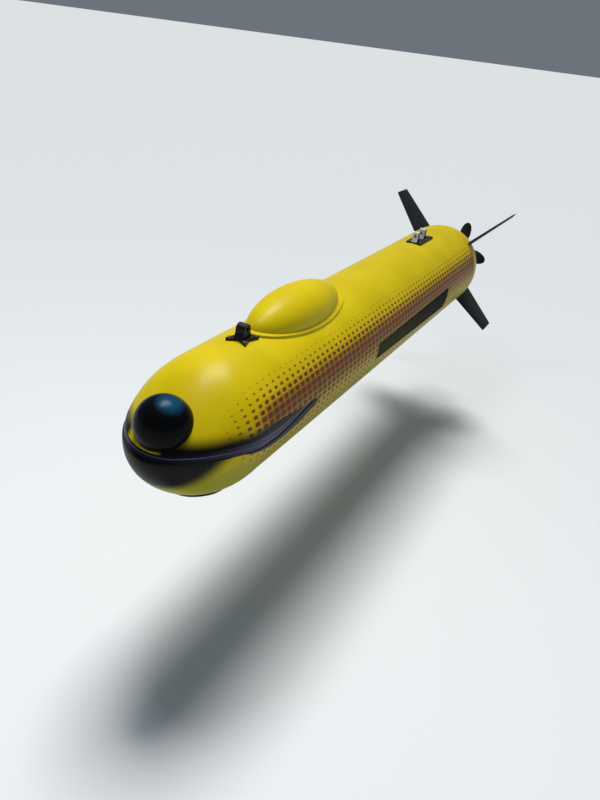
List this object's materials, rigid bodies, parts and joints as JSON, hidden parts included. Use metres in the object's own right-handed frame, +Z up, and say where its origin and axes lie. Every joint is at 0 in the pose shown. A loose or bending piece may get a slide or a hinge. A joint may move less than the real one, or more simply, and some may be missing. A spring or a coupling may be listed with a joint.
{
  "type": "underwater survey vehicle",
  "caption": "Torpedo-shaped underwater survey vehicle with moulded shells, nose sonar dome, antenna blister, flank sonar, lifting eyes, hinged tail fins and a screw propeller.",
  "frame": {"origin": "centre of the bounding box, on the hull axis half way between the nose tip and the spinner tip", "axes": "+X forward to the nose, +Y to port, +Z up"},
  "size_m": [4.9794, 1.0534, 1.0534],
  "materials": {
    "hull_yellow": "gloss",
    "black_plastic": "satin",
    "dome_black": "gloss",
    "transducer_rubber": "matte",
    "black_steel": "satin",
    "grey_paint": "satin",
    "steel": "satin",
    "frame_aluminium": "satin",
    "pressure_aluminium": "anodised",
    "foam": "matte",
    "inner_plastic": "matte",
    "ballast_iron": "matte",
    "propeller_black": "satin"
  },
  "bodies": {
    "vehicle": {"forward_upper_shell": "hull_yellow", "forward_lower_shell": "hull_yellow", "mid_upper_shell": "hull_yellow", "mid_lower_shell": "hull_yellow", "aft_shell": "hull_yellow", "tail_fairing": "hull_yellow", "blister_plinth": "hull_yellow", "blister_radome": "hull_yellow", "mouth_band": "black_plastic", "chin_fairing": "black_plastic", "port_sonar_window": "black_plastic", "starboard_sonar_window": "black_plastic", "forward_sonar_dome": "dome_black", "velocity_log": "transducer_rubber", "forward_sonar_head": "transducer_rubber", "port_sonar_array": "transducer_rubber", "starboard_sonar_array": "transducer_rubber", "front_lift_lug": "black_steel", "rear_lug_plate": "black_steel", "rear_lift_eye_fore": "grey_paint", "rear_lift_eye_aft": "grey_paint", "front_lug_bolts": "steel", "rear_lug_bolts": "steel", "front_lug_backing": "frame_aluminium", "rear_lug_backing": "frame_aluminium", "shoulder_frame": "frame_aluminium", "forward_frame": "frame_aluminium", "front_splice_frame": "frame_aluminium", "mid_frame": "frame_aluminium", "rear_splice_frame": "frame_aluminium", "tail_splice_frame": "frame_aluminium", "fin_frame": "frame_aluminium", "motor_bulkhead": "frame_aluminium", "sonar_mount_plate": "frame_aluminium", "dome_clamp_ring": "frame_aluminium", "electronics_rack": "frame_aluminium", "antenna_tray": "frame_aluminium", "pressure_tube": "pressure_aluminium", "pressure_dome_front": "pressure_aluminium", "pressure_dome_rear": "pressure_aluminium", "fin_actuators": "pressure_aluminium", "thruster_motor": "pressure_aluminium", "foam_blocks": "foam", "battery_packs": "inner_plastic", "satellite_antenna": "inner_plastic", "radio_antenna": "inner_plastic", "fin_bushes": "inner_plastic", "shaft_bearing": "inner_plastic", "trim_ballast": "ballast_iron"},
    "upper_port_fin": {"fin_upper_port": "black_plastic", "stock_upper_port": "steel"},
    "upper_starboard_fin": {"fin_upper_starboard": "black_plastic", "stock_upper_starboard": "steel"},
    "lower_starboard_fin": {"fin_lower_starboard": "black_plastic", "stock_lower_starboard": "steel"},
    "lower_port_fin": {"fin_lower_port": "black_plastic", "stock_lower_port": "steel"},
    "propulsor": {"propeller_shaft": "steel", "propeller": "propeller_black", "spinner": "propeller_black"}
  },
  "joints": [
    {"name": "upper_port_fin_turn", "type": "hinge", "parent": "vehicle", "child": "upper_port_fin", "pos_m": [-1.82333, 0.21213, 0.21213], "axis": [0, 0.7071, 0.7071], "range_deg": [-25, 25]},
    {"name": "upper_starboard_fin_turn", "type": "hinge", "parent": "vehicle", "child": "upper_starboard_fin", "pos_m": [-1.82333, -0.21213, 0.21213], "axis": [0, -0.7071, 0.7071], "range_deg": [-25, 25]},
    {"name": "lower_starboard_fin_turn", "type": "hinge", "parent": "vehicle", "child": "lower_starboard_fin", "pos_m": [-1.82333, -0.21213, -0.21213], "axis": [0, -0.7071, -0.7071], "range_deg": [-25, 25]},
    {"name": "lower_port_fin_turn", "type": "hinge", "parent": "vehicle", "child": "lower_port_fin", "pos_m": [-1.82333, 0.21213, -0.21213], "axis": [0, 0.7071, -0.7071], "range_deg": [-25, 25]},
    {"name": "propeller_spin", "type": "hinge", "parent": "vehicle", "child": "propulsor", "pos_m": [-2.38, 0, 0], "axis": [1, 0, 0], "continuous": true}
  ]
}
